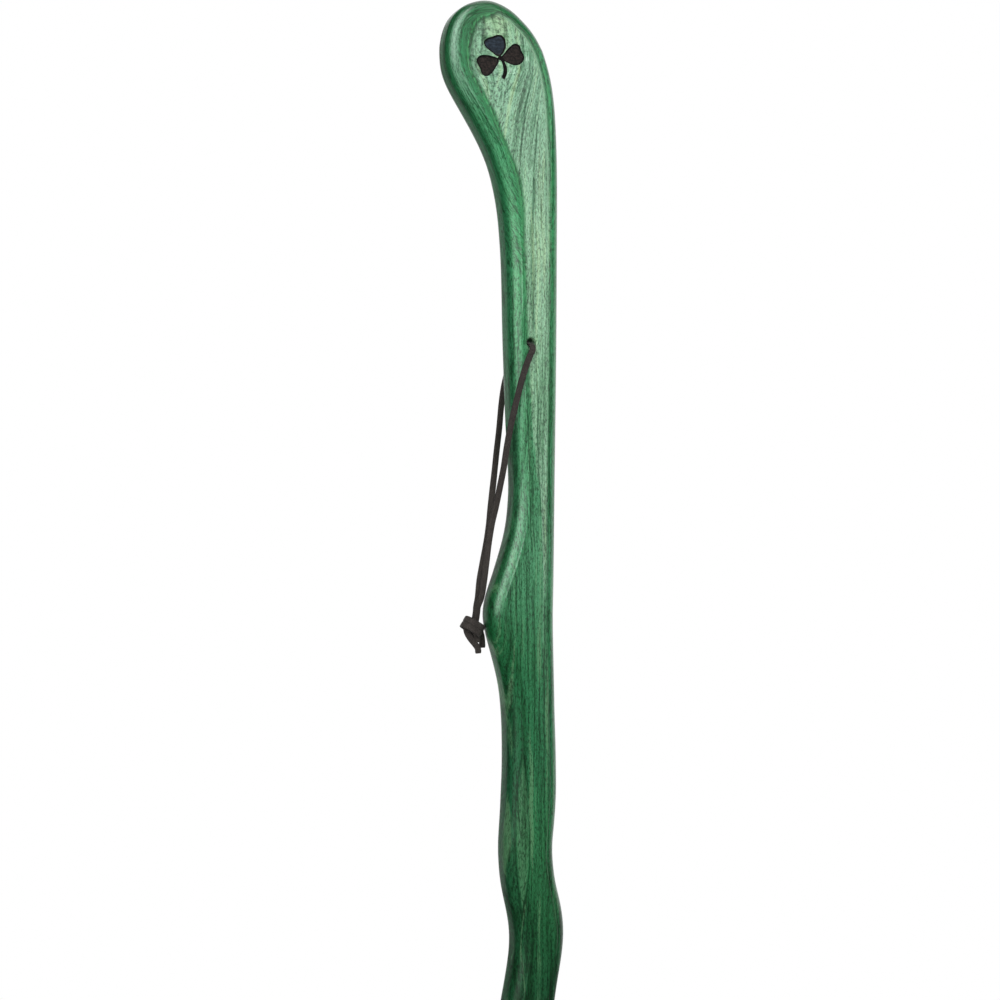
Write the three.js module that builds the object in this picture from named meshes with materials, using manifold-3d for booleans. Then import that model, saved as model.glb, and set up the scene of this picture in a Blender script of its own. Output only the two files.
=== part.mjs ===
// A carved one-piece ash hiking staff with its leather wrist thong and its rubber ferrule.
// Millimetres, +Z up. The origin is on the shaft's axis where a hand closes round it.
// The staff is sawn from a board: its flat front face looks along -Y, its width runs along X.
import * as THREE from 'three';
import { mergeVertices } from 'three/addons/utils/BufferGeometryUtils.js';
import Module from 'manifold-3d';

const wasm = await Module();
wasm.setup();

// Staff: overall sizes
const staffLength = 1397;
const gripBelowCrown = 287;
const carvedLength = 610;
const shaftWidth = 31.75;
const boardThickness = 25.4;
const edgeRounding = 9.525;
const tipDiameter = 22;
const tipStraight = 60;
const tipBreak = 1;

// Lanyard hole, drilled from front to back
const holeDiameter = 6;
const holeBelowCrown = 205.5;
const holeLeftOfAxis = 2.75;
const holeBreak = 0.8;

// Leather thong, a flat strip
const thongWidth = 3.8;
const thongThickness = 1.8;
const thongEdge = 0.4;
const thongBend = 3;
const thongLead = 2.4;

// Rubber ferrule and the steel washer at the bottom of its socket
const ferruleHeight = 52;
const footThickness = 11;
const footRadius = 17.5;
const footEdgeRounding = 2;
const ferruleWall = 2.8;
const rimRounding = 1.1;
const beadCount = 3;
const beadPitch = 6.4;
const beadProud = 1;
const beadHalfHeight = 1.5;
const flareTop = 24;
const flareBottom = 8;
const treadPadRadius = 5;
const treadGrooves = 2;
const treadGroove = 1.8;
const treadDepth = 1.6;
const washerThickness = 1.6;
const washerBore = 6;

// Clearances
const fitGap = 0.3;
const cutOverrun = 2;

// Fineness of the curved surfaces
const cornerSteps = 6;
const crownStations = 11;
const carvedStep = 11;
const lowerStep = 20;
const roundSides = 32;
const holeSides = 24;
const mouthBendSteps = 4;
const thongSteps = 24;
const tailSteps = 10;
const flareSteps = 6;
const filletSteps = 4;
const halvings = 40;
const mergeDistance = 0.001;

const halfBoard = boardThickness / 2;
const tipRadius = tipDiameter / 2;
const crownZ = gripBelowCrown;
const footZ = gripBelowCrown - staffLength;
const socketFloorZ = footZ + footThickness;
const washerZ = socketFloorZ + fitGap;
const woodEndZ = washerZ + washerThickness + fitGap;
const woodLength = crownZ - woodEndZ;
const lowerLength = woodLength - carvedLength;
const taperLength = lowerLength - tipStraight;

// The board's outline. Each row holds how far down from the crown, as a share of the carved
// length, and how far from the shaft's axis, as a share of the shaft's width.
const crownShare = -0.885;
const leftEdgeShares = [
  [0.0055, -1.3], [0.017, -1.566], [0.031, -1.7], [0.049, -1.76], [0.068, -1.732], [0.088, -1.583],
  [0.117, -1.23], [0.155, -0.835], [0.194, -0.625], [0.244, -0.52], [0.333, -0.47], [0.413, -0.41],
  [0.455, -0.365], [0.475, -0.35], [0.495, -0.363], [0.515, -0.405], [0.535, -0.49], [0.572, -0.72],
  [0.592, -0.845], [0.612, -0.88], [0.632, -0.79], [0.652, -0.685], [0.672, -0.585], [0.702, -0.51],
  [0.752, -0.485], [0.8, -0.52], [0.841, -0.562], [0.872, -0.518], [0.892, -0.443], [0.913, -0.36],
  [0.933, -0.33], [0.953, -0.365], [0.975, -0.44], [1, -0.525],
];
const rightEdgeShares = [
  [0.0058, -0.485], [0.0212, -0.1], [0.031, 0.066], [0.0425, 0.203], [0.057, 0.318], [0.072, 0.394],
  [0.092, 0.465], [0.112, 0.5], [0.152, 0.534], [0.192, 0.54], [0.244, 0.536], [0.333, 0.526],
  [0.413, 0.507], [0.472, 0.49], [0.573, 0.465], [0.613, 0.452], [0.653, 0.466], [0.703, 0.488],
  [0.753, 0.515], [0.79, 0.515], [0.813, 0.482], [0.843, 0.438], [0.873, 0.5], [0.893, 0.592],
  [0.914, 0.66], [0.935, 0.663], [0.955, 0.61], [0.975, 0.54], [1, 0.47],
];

// The lower shaft's waves die away towards the tip. Each row holds how far down the lower shaft
// and how far the middle lies from the axis, as shares of its taper and of the shaft's width.
const waveShares = [
  [0.04, -0.1], [0.09, -0.13], [0.15, -0.05], [0.21, 0.055], [0.28, 0.07], [0.36, 0], [0.44, -0.055],
  [0.53, -0.03], [0.63, 0.03], [0.73, 0.025], [0.84, -0.01], [0.93, 0], [1, 0],
];

function mix(from, to, share) {
  return from + (to - from) * share;
}

// How far the section has changed from the board's to the round tip's, from 0 to 1
function taperShare(down) {
  return THREE.MathUtils.clamp((down - carvedLength) / taperLength, 0, 1);
}

function shaftWidthAt(down) {
  return mix(shaftWidth, tipDiameter, taperShare(down));
}

function waveRows(side) {
  return waveShares.map(([downShare, middleShare]) => {
    const down = carvedLength + downShare * taperLength;
    return [down, middleShare * shaftWidth + (side * shaftWidthAt(down)) / 2];
  });
}

function edgeRows(side, shares) {
  const carved = shares.map(([downShare, acrossShare]) => {
    return [downShare * carvedLength, acrossShare * shaftWidth];
  });
  return [...carved, ...waveRows(side)];
}

// One curve runs up the left edge, over the crown and down the right edge
const leftRows = edgeRows(-1, leftEdgeShares);
const rightRows = edgeRows(1, rightEdgeShares);
const outlineRows = [...leftRows].reverse().concat([[0, crownShare * shaftWidth]], rightRows);
const outline = new THREE.CatmullRomCurve3(
  outlineRows.map(([down, across]) => new THREE.Vector3(across, 0, crownZ - down)),
  false,
  'centripetal',
);
const crownAt = leftRows.length / (outlineRows.length - 1);

// Where on the curve one edge lies a given way down from the crown, found by halving
function curvePlace(side, down) {
  if (down === 0) {
    return crownAt;
  }
  let near = crownAt;
  let far = side < 0 ? 0 : 1;
  for (let step = 0; step < halvings; step += 1) {
    const middle = (near + far) / 2;
    if (crownZ - outline.getPoint(middle).z < down) {
      near = middle;
    } else {
      far = middle;
    }
  }
  return near;
}

// The edge at one height: its point and the direction that points into the wood
function edgeAt(side, down) {
  if (taperShare(down) === 1) {
    return { x: side * tipRadius, inX: -side, inZ: 0 };
  }
  const place = curvePlace(side, down);
  const point = outline.getPoint(place);
  const along = outline.getTangent(place);
  return { x: point.x, inX: along.z, inZ: -along.x };
}

// Wooden staff

// One ring of the loft: four rounded corners between two flat faces and two flat edges
function staffRing(down, inset) {
  const taper = taperShare(down);
  const half = mix(halfBoard, tipRadius, taper) - inset;
  const rounding = mix(edgeRounding, tipRadius, taper) - inset;
  const corners = [
    [-1, -1, true],
    [1, -1, false],
    [1, 1, true],
    [-1, 1, false],
  ];
  return corners.flatMap(([side, face, fromEdge]) => {
    const edge = edgeAt(side, down);
    return Array.from({ length: cornerSteps + 1 }, (_, step) => {
      const turn = ((fromEdge ? step : cornerSteps - step) / cornerSteps) * (Math.PI / 2);
      const inward = inset + rounding * (1 - Math.cos(turn));
      return new THREE.Vector3(
        edge.x + edge.inX * inward,
        face * (half - rounding + rounding * Math.sin(turn)),
        crownZ - down + edge.inZ * inward,
      );
    });
  });
}

function staffStations() {
  const crownZone = leftEdgeShares[3][0] * carvedLength;
  const downs = Array.from(
    { length: crownStations },
    (_, i) => crownZone * (1 - Math.cos(((i / crownStations) * Math.PI) / 2)),
  );
  const stretches = [
    [crownZone, carvedLength, carvedStep],
    [carvedLength, woodLength - tipStraight, lowerStep],
    [woodLength - tipStraight, woodLength - tipBreak, lowerStep],
  ];
  for (const [from, to, step] of stretches) {
    const count = Math.ceil((to - from) / step);
    for (let i = 0; i < count; i += 1) {
      downs.push(mix(from, to, i / count));
    }
  }
  return downs;
}

// Joins rings of points, from the top down, into one closed surface with a flat lower end
function loft(rings) {
  const positions = [];
  const numbers = new Map();
  const key = (point) => point.toArray().map((value) => Math.round(value / mergeDistance)).join();
  const add = (point) => {
    const name = key(point);
    if (!numbers.has(name)) {
      numbers.set(name, numbers.size);
      positions.push(...point.toArray());
    }
    return numbers.get(name);
  };
  const ringNumbers = rings.map((ring) => ring.map(add));
  const index = [];
  const triangle = (a, b, c) => {
    if (a !== b && b !== c && c !== a) {
      index.push(a, b, c);
    }
  };
  for (let i = 0; i + 1 < ringNumbers.length; i += 1) {
    const upper = ringNumbers[i];
    const lower = ringNumbers[i + 1];
    for (let j = 0; j < upper.length; j += 1) {
      const next = (j + 1) % upper.length;
      triangle(upper[j], lower[j], upper[next]);
      triangle(upper[next], lower[j], lower[next]);
    }
  }
  const lastRing = rings[rings.length - 1];
  const middle = lastRing.reduce((sum, point) => sum.add(point), new THREE.Vector3());
  const hub = add(middle.divideScalar(lastRing.length));
  const last = ringNumbers[ringNumbers.length - 1];
  last.forEach((number, j) => triangle(hub, last[(j + 1) % last.length], number));
  const geometry = new THREE.BufferGeometry();
  geometry.setAttribute('position', new THREE.Float32BufferAttribute(positions, 3));
  geometry.setIndex(index);
  return geometry;
}

// A closed geometry as a solid for cutting and joining, and back
function toSolid(geometry) {
  const bare = geometry.clone();
  bare.deleteAttribute('normal');
  bare.deleteAttribute('uv');
  const merged = mergeVertices(bare);
  const index = merged.getIndex().array;
  const kept = [];
  for (let i = 0; i < index.length; i += 3) {
    const [a, b, c] = [index[i], index[i + 1], index[i + 2]];
    if (a !== b && b !== c && c !== a) {
      kept.push(a, b, c);
    }
  }
  const vertProperties = new Float32Array(merged.getAttribute('position').array);
  const triVerts = new Uint32Array(kept);
  return new wasm.Manifold(new wasm.Mesh({ numProp: 3, vertProperties, triVerts }));
}

function toGeometry(solid) {
  const mesh = solid.getMesh();
  const geometry = new THREE.BufferGeometry();
  geometry.setAttribute('position', new THREE.BufferAttribute(new Float32Array(mesh.vertProperties), 3));
  geometry.setIndex(new THREE.BufferAttribute(new Uint32Array(mesh.triVerts), 1));
  return geometry;
}

// The drill with its two countersinks, along Y
function drill() {
  const radius = holeDiameter / 2;
  const reach = halfBoard + cutOverrun;
  const flared = radius + holeBreak + cutOverrun;
  const profile = [
    [0, -reach],
    [flared, -reach],
    [radius, holeBreak - halfBoard],
    [radius, halfBoard - holeBreak],
    [flared, reach],
    [0, reach],
  ];
  const geometry = new THREE.LatheGeometry(profile.map(([r, y]) => new THREE.Vector2(r, y)), holeSides);
  return geometry.translate(-holeLeftOfAxis, 0, crownZ - holeBelowCrown);
}

function woodenStaff() {
  const rings = staffStations().map((down) => staffRing(down, 0));
  rings.push(staffRing(woodLength - tipBreak, 0), staffRing(woodLength, tipBreak));
  return toGeometry(toSolid(loft(rings)).subtract(toSolid(drill())));
}

// Leather thong

// The strip's section: its thickness along the first axis, its width along the second
function stripSection(thickness, width) {
  const a = thickness / 2;
  const b = width / 2;
  const corners = [
    [a, b - thongEdge], [a - thongEdge, b], [thongEdge - a, b], [-a, b - thongEdge],
    [-a, thongEdge - b], [thongEdge - a, -b], [a - thongEdge, -b], [a, thongEdge - b],
  ];
  return new THREE.Shape(corners.map(([x, y]) => new THREE.Vector2(x, y)));
}

function stripAlong(points, thickness, width, steps) {
  const route = new THREE.CatmullRomCurve3(points, false, 'centripetal');
  return new THREE.ExtrudeGeometry(stripSection(thickness, width), {
    steps,
    bevelEnabled: false,
    extrudePath: route,
  });
}

// The strip lies on the lower side of the hole, then on the board's faces
const holeX = -holeLeftOfAxis;
const holeZ = crownZ - holeBelowCrown;
const boreRoom = holeDiameter / 2 - fitGap;
const seatDepth = Math.sqrt(boreRoom ** 2 - (thongWidth / 2 - thongEdge) ** 2);
const seatZ = holeZ - seatDepth + thongThickness / 2;
const faceRunY = halfBoard + fitGap + thongThickness / 2;
const leadZ = seatZ - thongBend - thongLead;
const leadX = holeX - thongLead / 2;

// Through the hole and over both of its mouths, ending a little way down each face
function throughHole() {
  const half = [new THREE.Vector3(holeX, 0, seatZ)];
  for (let step = 0; step <= mouthBendSteps; step += 1) {
    const turn = ((step / mouthBendSteps) * Math.PI) / 2;
    const y = faceRunY - thongBend * (1 - Math.sin(turn));
    half.push(new THREE.Vector3(holeX, y, seatZ - thongBend * (1 - Math.cos(turn))));
  }
  half.push(new THREE.Vector3(leadX, faceRunY, leadZ));
  const front = half.map(({ x, y, z }) => new THREE.Vector3(x, -y, z)).reverse();
  return stripAlong([...front, ...half.slice(1)], thongThickness, thongWidth, thongSteps);
}

// The free runs, from the knot up to the hole, along points chosen by hand
const knotTop = [-32.3, 3.4, -80.6];
const frontRun = [
  [-32.3, 2.35, -80.3], [-32.1, 2.27, -78.2], [-29.9, 2.05, -72.6], [-28.1, 1.65, -61.8], [-26.8, 1.1, -51],
  [-25.7, 0.4, -40.1], [-24.1, -0.85, -28], [-22.3, -3.15, -17.2], [-20.9, -6.3, -5.1], [-19.7, -9.05, 5.7],
  [-18.4, -11.2, 18.9], [-16.3, -12.6, 32.1], [-13, -13.4, 46.5], [-9.9, -13.8, 58.6], [-6.7, -13.9, 68.3],
];
const rearRun = [
  [-32.3, 4.45, -80.3], [-32.2, 4.37, -78.2], [-31.2, 4.15, -72.6], [-30.2, 3.75, -61.8], [-28.3, 3.5, -51],
  [-26.1, 3.4, -40.1], [-24.1, 3.75, -28.1], [-22.4, 5.25, -17.2], [-20.3, 7.2, -6.2], [-18.3, 9, 4.8],
  [-16.2, 10.8, 17.1], [-13.9, 12.4, 30.6], [-12, 13.5, 45.4], [-9.8, 13.9, 57.8], [-6.8, 13.9, 68.3],
];

function freeRun(route, side) {
  const points = route.map(([x, y, z]) => new THREE.Vector3(x, y, z));
  points.push(new THREE.Vector3(leadX - fitGap / 2, side * faceRunY, leadZ - fitGap));
  return stripAlong(points, thongThickness, thongWidth, thongSteps);
}

// The overhand knot, tied with both ends together: the doubled strip goes down through a band of
// the same two strips laid side by side, and the two ends come out below it as short tails.
const knotBandRadius = 4.6;
const knotBandDepthShare = 0.86;
const knotBandLean = 0.55;
const knotBandOffset = [-2.1, 0, -9.6];
const knotCore = [[0, 0, 0], [-0.6, 0, -4], [-1.4, 0, -9], [-1, 0, -14], [0, 0, -17.5]];
const frontTail = [
  [-6.6, -1, -9.5], [-6.5, -1.3, -13.1], [-4.2, -1.4, -16.8], [-1.6, -1.4, -19.9], [0.3, -1.3, -22.7],
  [0.6, -1.2, -25.6],
];
const rearTail = [[2.2, 1, -10.5], [3.6, 1.3, -15], [4.1, 1.4, -19], [4.2, 1.3, -22.5]];

function fromKnotTop(points) {
  return points.map(([x, y, z]) => new THREE.Vector3(knotTop[0] + x, knotTop[1] + y, knotTop[2] + z));
}

// The band is two strips wide and two strips thick
function knotBand() {
  const out = thongThickness;
  const halfWidth = thongWidth;
  const profile = [
    [knotBandRadius - out, thongEdge - halfWidth],
    [knotBandRadius, -halfWidth],
    [knotBandRadius + out - thongEdge, -halfWidth],
    [knotBandRadius + out, thongEdge - halfWidth],
    [knotBandRadius + out, halfWidth - thongEdge],
    [knotBandRadius + out - thongEdge, halfWidth],
    [knotBandRadius, halfWidth],
    [knotBandRadius - out, halfWidth - thongEdge],
    [knotBandRadius - out, thongEdge - halfWidth],
  ];
  const band = new THREE.LatheGeometry(profile.map(([r, y]) => new THREE.Vector2(r, y)), roundSides);
  const [x, y, z] = knotBandOffset;
  return band
    .rotateX(Math.PI / 2)
    .scale(1, knotBandDepthShare, 1)
    .rotateY(knotBandLean)
    .translate(knotTop[0] + x, knotTop[1] + y, knotTop[2] + z);
}

function thongKnot() {
  const doubled = 2 * thongThickness + fitGap;
  const strands = [
    stripAlong(fromKnotTop(knotCore), doubled, thongWidth, tailSteps),
    stripAlong(fromKnotTop(frontTail), thongThickness, thongWidth, tailSteps),
    stripAlong(fromKnotTop(rearTail), thongThickness, thongWidth, tailSteps),
  ];
  return toGeometry(strands.reduce((solid, strand) => solid.add(toSolid(strand)), toSolid(knotBand())));
}

// Rubber ferrule

// A rounded edge of the profile, from one angle to another
function arc(centreR, centreH, radius, from, to) {
  return Array.from({ length: filletSteps + 1 }, (_, i) => {
    const turn = mix(from, to, i / filletSteps);
    return [centreR + radius * Math.cos(turn), centreH + radius * Math.sin(turn)];
  });
}

// Each tread groove as four corners, from the pad outwards
function treadProfile() {
  const points = [[0, 0]];
  const ringPitch = (footRadius - footEdgeRounding - treadPadRadius) / treadGrooves;
  for (let groove = 0; groove < treadGrooves; groove += 1) {
    const start = treadPadRadius + groove * ringPitch;
    points.push([start, 0], [start, treadDepth], [start + treadGroove, treadDepth], [start + treadGroove, 0]);
  }
  return points;
}

function ferruleProfile() {
  const boreRadius = tipRadius + fitGap;
  const bodyRadius = boreRadius + ferruleWall;
  const quarter = Math.PI / 2;
  const flareRise = flareTop - flareBottom;
  const flare = Array.from({ length: flareSteps + 1 }, (_, i) => {
    const turn = (i / flareSteps) * quarter;
    return [mix(footRadius, bodyRadius, Math.sin(turn)), flareBottom + flareRise * (1 - Math.cos(turn))];
  });
  const beads = Array.from({ length: beadCount }, (_, i) => {
    const height = ferruleHeight - beadPitch * (beadCount - i);
    return [
      [bodyRadius, height - beadHalfHeight],
      [bodyRadius + beadProud, height - beadHalfHeight / 2],
      [bodyRadius + beadProud, height + beadHalfHeight / 2],
      [bodyRadius, height + beadHalfHeight],
    ];
  }).flat();
  return [
    ...treadProfile(),
    ...arc(footRadius - footEdgeRounding, footEdgeRounding, footEdgeRounding, -quarter, 0),
    ...flare,
    ...beads,
    ...arc(bodyRadius - rimRounding, ferruleHeight - rimRounding, rimRounding, 0, quarter),
    [boreRadius, ferruleHeight],
    [boreRadius, footThickness],
    [0, footThickness],
  ];
}

function turned(profile) {
  const points = profile.map(([r, height]) => new THREE.Vector2(r, height));
  return new THREE.LatheGeometry(points, roundSides).rotateX(Math.PI / 2);
}

function rubberFerrule() {
  return turned(ferruleProfile()).translate(0, 0, footZ);
}

function ferruleWasher() {
  const inner = washerBore / 2;
  const outer = tipRadius;
  const profile = [[inner, 0], [outer, 0], [outer, washerThickness], [inner, washerThickness], [inner, 0]];
  return turned(profile).translate(0, 0, washerZ);
}

// Finishes and assembly
const stainedAsh = new THREE.MeshStandardMaterial({ color: 0x4f8a5c, roughness: 0.42, metalness: 0 });
const leather = new THREE.MeshStandardMaterial({ color: 0x3c3734, roughness: 0.8, metalness: 0 });
const rubber = new THREE.MeshStandardMaterial({ color: 0x1b1b1c, roughness: 0.75, metalness: 0 });
const steel = new THREE.MeshStandardMaterial({ color: 0xa8abad, roughness: 0.35, metalness: 1 });

function piece(name, geometry, material) {
  const mesh = new THREE.Mesh(geometry, material);
  mesh.name = name;
  return mesh;
}

const thong = new THREE.Group();
thong.add(
  piece('thong_through_hole', throughHole(), leather),
  piece('thong_front_run', freeRun(frontRun, -1), leather),
  piece('thong_rear_run', freeRun(rearRun, 1), leather),
  piece('thong_knot', thongKnot(), leather),
);

const ferrule = new THREE.Group();
ferrule.add(
  piece('rubber_ferrule', rubberFerrule(), rubber),
  piece('ferrule_washer', ferruleWasher(), steel),
);

const staff = new THREE.Group();
staff.add(piece('wooden_staff', woodenStaff(), stainedAsh), thong, ferrule);

export default staff;
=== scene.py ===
# %% [markdown]
# # A carved hiking staff
# The staff is one piece of ash, sawn from a board, carved, stained green and lacquered. A flat
# leather thong hangs from a drilled hole, and a rubber ferrule covers the tip. The construction
# arrives as a fixed frame of plain solids. This lesson gives them their fine shapes and their
# finishes, and leaves every size and place as the frame has it.

# %% Load the frame
import math

import bpy
import numpy as np
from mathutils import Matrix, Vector, kdtree, noise


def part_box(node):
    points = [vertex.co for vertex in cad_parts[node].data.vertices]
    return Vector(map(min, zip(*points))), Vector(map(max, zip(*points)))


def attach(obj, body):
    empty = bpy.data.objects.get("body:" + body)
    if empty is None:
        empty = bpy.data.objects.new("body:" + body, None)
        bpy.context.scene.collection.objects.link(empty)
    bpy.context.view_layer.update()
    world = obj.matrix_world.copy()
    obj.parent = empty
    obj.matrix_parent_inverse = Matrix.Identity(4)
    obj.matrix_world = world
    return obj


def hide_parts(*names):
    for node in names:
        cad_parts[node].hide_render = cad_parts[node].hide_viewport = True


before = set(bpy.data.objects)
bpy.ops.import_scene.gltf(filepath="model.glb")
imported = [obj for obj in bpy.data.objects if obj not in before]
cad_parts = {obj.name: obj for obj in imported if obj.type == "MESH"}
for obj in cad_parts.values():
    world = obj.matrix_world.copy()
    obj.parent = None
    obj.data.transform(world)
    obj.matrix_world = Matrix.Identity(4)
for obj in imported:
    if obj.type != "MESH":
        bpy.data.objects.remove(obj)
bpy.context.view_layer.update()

MM = 0.001
print("frame:", ", ".join(sorted(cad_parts)))

# %% [markdown]
# ## Camera
# The picture looks at the front face from a little to its left, level with the hand. A long lens
# from about a metre keeps the staff's edges nearly parallel. The aim is a distance across from the
# staff's axis and a height above the grip, so that it can be checked against the staff.

# %% Camera
view_turn = math.radians(22)
camera_distance = 1.1
picture_width = 0.61
sensor_width = 36
aim_across = -0.01708
aim_height = -0.0135

look = Vector((math.sin(view_turn), math.cos(view_turn), 0))
rightward = Vector((math.cos(view_turn), -math.sin(view_turn), 0))
aim = rightward * aim_across + Vector((0, 0, aim_height))
bpy.ops.object.camera_add(location=aim - look * camera_distance, rotation=(math.pi / 2, 0, -view_turn))
camera = bpy.context.object
camera.data.sensor_width = sensor_width
camera.data.lens = sensor_width * camera_distance / picture_width
bpy.context.scene.camera = camera
print("focal length:", round(camera.data.lens, 1), "mm")

# %% [markdown]
# ## Before modelling
# Operators act on all that is selected, and the loaded frame leaves its solids selected. So each
# step first selects the one piece that it works on. A finished mesh has its doubled corners
# merged, its normals turned out and its soft edges shaded smooth. A line with its size shows at
# once when a unit is wrong.

# %% Select one piece, tidy its mesh and report it
weld_distance = 0.001 * MM


def select_only(piece):
    if bpy.context.object and bpy.context.object.mode != "OBJECT":
        bpy.ops.object.mode_set(mode="OBJECT")
    bpy.ops.object.select_all(action="DESELECT")
    piece.select_set(True)
    bpy.context.view_layer.objects.active = piece


def tidy_mesh(piece, smooth_angle=60):
    """Merges doubles, turns the normals out and shades the piece smooth."""
    select_only(piece)
    bpy.ops.object.mode_set(mode="EDIT")
    bpy.ops.mesh.select_all(action="SELECT")
    bpy.ops.mesh.remove_doubles(threshold=weld_distance)
    bpy.ops.mesh.normals_make_consistent(inside=False)
    bpy.ops.object.mode_set(mode="OBJECT")
    bpy.ops.object.shade_smooth_by_angle(angle=math.radians(smooth_angle))


def report(piece):
    size = [round(side / MM, 1) for side in piece.dimensions]
    print(f"{piece.name}: {len(piece.data.polygons)} faces, {size} mm")


# %% [markdown]
# ## Thong: a flat strip along a route
# The thong is one strip of leather, 3.8 mm wide and 1.8 mm thick. It could be a curve with a
# bevel, but a curve twists a flat section wherever it turns. Here the strip is swept by hand: a
# smooth route, one direction for its width at each place, and a section with soft edges. The two
# free runs follow the points of the solids that they stand for. Their width varies by a few
# hundredths along the way, as in cut leather.

# %% Smooth route through a few points
places_per_span = 24


def smooth_route(points, steps):
    """Evenly spaced places on a centripetal Catmull-Rom curve through the points."""
    given = [Vector(point) for point in points]
    given = [given[0] * 2 - given[1], *given, given[-1] * 2 - given[-2]]
    fine = []
    for a, b, c, d in zip(given, given[1:], given[2:], given[3:]):
        t1 = (b - a).length ** 0.5
        t2 = t1 + (c - b).length ** 0.5
        t3 = t2 + (d - c).length ** 0.5
        for t in np.linspace(t1, t2, places_per_span, endpoint=False):
            ab = a + (b - a) * (t / t1)
            bc = b + (c - b) * ((t - t1) / (t2 - t1))
            cd = c + (d - c) * ((t - t2) / (t3 - t2))
            abc = ab + (bc - ab) * (t / t2)
            bcd = bc + (cd - bc) * ((t - t1) / (t3 - t1))
            fine.append(abc + (bcd - abc) * ((t - t1) / (t2 - t1)))
    fine.append(given[-2])
    fine = np.array(fine)
    lengths = np.concatenate([[0], np.cumsum(np.linalg.norm(np.diff(fine, axis=0), axis=1))])
    wanted = np.linspace(0, lengths[-1], steps + 1)
    return np.column_stack([np.interp(wanted, lengths, fine[:, axis]) for axis in range(3)])


def route_length(route):
    return sum((Vector(b) - Vector(a)).length for a, b in zip(route, route[1:]))


# %% Section of the strip
strip_width = 3.8 * MM
strip_thickness = 1.8 * MM
section_points = 24
section_squareness = 4.5


def squared(part, squareness):
    """A cosine or sine pushed outwards, which turns a circle into a square with round corners."""
    return math.copysign(abs(part) ** (2 / squareness), part)


turns = [2 * math.pi * i / section_points for i in range(section_points)]
strip_section = [(squared(math.cos(turn), section_squareness) * strip_width / 2,
                  squared(math.sin(turn), section_squareness) * strip_thickness / 2) for turn in turns]
print("strip section:", len(strip_section), "corners")

# %% Strip with soft edges
ring_spacing = 0.9 * MM
fewest_steps = 12
swell_share = 0.03
swells_per_metre = 90
end_share = 0.86


def strip_faces(steps):
    """Four-sided faces between the rings, and one face over each end."""
    faces = []
    for i in range(steps):
        for j in range(section_points):
            k = (j + 1) % section_points
            faces.append([i * section_points + j, i * section_points + k,
                          (i + 1) * section_points + k, (i + 1) * section_points + j])
    faces.append(list(range(section_points))[::-1])
    faces.append([steps * section_points + j for j in range(section_points)])
    return faces


def sweep_strip(name, route, widths):
    """Sweeps the strip along the route. widths gives the direction of its width, at even steps."""
    steps = max(fewest_steps, int(route_length(route) / ring_spacing))
    places = smooth_route(route, steps)
    shares = np.linspace(0, 1, len(places))
    given = np.linspace(0, 1, len(widths))
    sides = np.column_stack([np.interp(shares, given, [w[axis] for w in widths]) for axis in range(3)])
    corners = []
    for i, place in enumerate(places):
        ahead = Vector(places[min(i + 1, steps)] - places[max(i - 1, 0)]).normalized()
        side = Vector(sides[i])
        side = (side - ahead * side.dot(ahead)).normalized()
        out = ahead.cross(side)
        swell = 1 + swell_share * noise.noise(Vector(place) * swells_per_metre)
        shrink = end_share if i in (0, steps) else 1
        for across, through in strip_section:
            corners.append(Vector(place) + (side * across * swell + out * through) * shrink)
    mesh = bpy.data.meshes.new(name)
    mesh.from_pydata(corners, [], strip_faces(steps))
    strip = bpy.data.objects.new(name, mesh)
    bpy.context.scene.collection.objects.link(strip)
    edge = mesh.attributes.new("cut_edge", "FLOAT", "POINT")
    shares_across = [abs(across) / (strip_width / 2) for across, _ in strip_section]
    edge.data.foreach_set("value", np.tile(shares_across, steps + 1))
    tidy_mesh(strip)
    return strip, places


# %% Routes of the free runs, in millimetres, from the knot up to the hole
hole_x = -2.75
hole_z = 81.5
lead_x = -4.1
lead_z = 74.455
face_run_y = 13.9
knot_top = Vector((-32.3, 3.4, -80.6))
front_route = [
    (-32.3, 2.35, -80.3), (-32.1, 2.27, -78.2), (-29.9, 2.05, -72.6), (-28.1, 1.65, -61.8),
    (-26.8, 1.1, -51), (-25.7, 0.4, -40.1), (-24.1, -0.85, -28), (-22.3, -3.15, -17.2), (-20.9, -6.3, -5.1),
    (-19.7, -9.05, 5.7), (-18.4, -11.2, 18.9), (-16.3, -12.6, 32.1), (-13, -13.4, 46.5),
    (-9.9, -13.8, 58.6), (-6.7, -13.9, 68.3), (lead_x, -face_run_y, lead_z),
]
rear_route = [
    (-32.3, 4.45, -80.3), (-32.2, 4.37, -78.2), (-31.2, 4.15, -72.6), (-30.2, 3.75, -61.8),
    (-28.3, 3.5, -51), (-26.1, 3.4, -40.1), (-24.1, 3.75, -28.1), (-22.4, 5.25, -17.2), (-20.3, 7.2, -6.2),
    (-18.3, 9, 4.8), (-16.2, 10.8, 17.1), (-13.9, 12.4, 30.6), (-12, 13.5, 45.4),
    (-9.8, 13.9, 57.8), (-6.8, 13.9, 68.3), (lead_x, face_run_y, lead_z),
]


def metres(points):
    return [Vector(point) * MM for point in points]


def turned_widths(degrees):
    """Width directions in the level plane, at angles from the staff's own width."""
    return [Vector((math.cos(math.radians(a)), math.sin(math.radians(a)), 0)) for a in degrees]


print("routes:", round(route_length(front_route)), "and", round(route_length(rear_route)), "mm")

# %% The two free runs
front_turns = [0, -12, -25, -12, 0, 0, 0, 0, 0, 0]
rear_turns = [0, -12, -25, -12, 0, 8, 12, 10, 0, 0]
front_run, front_path = sweep_strip("thong_front", metres(front_route), turned_widths(front_turns))
rear_run, rear_path = sweep_strip("thong_rear", metres(rear_route), turned_widths(rear_turns))
for run in (front_run, rear_run):
    report(run)

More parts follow.
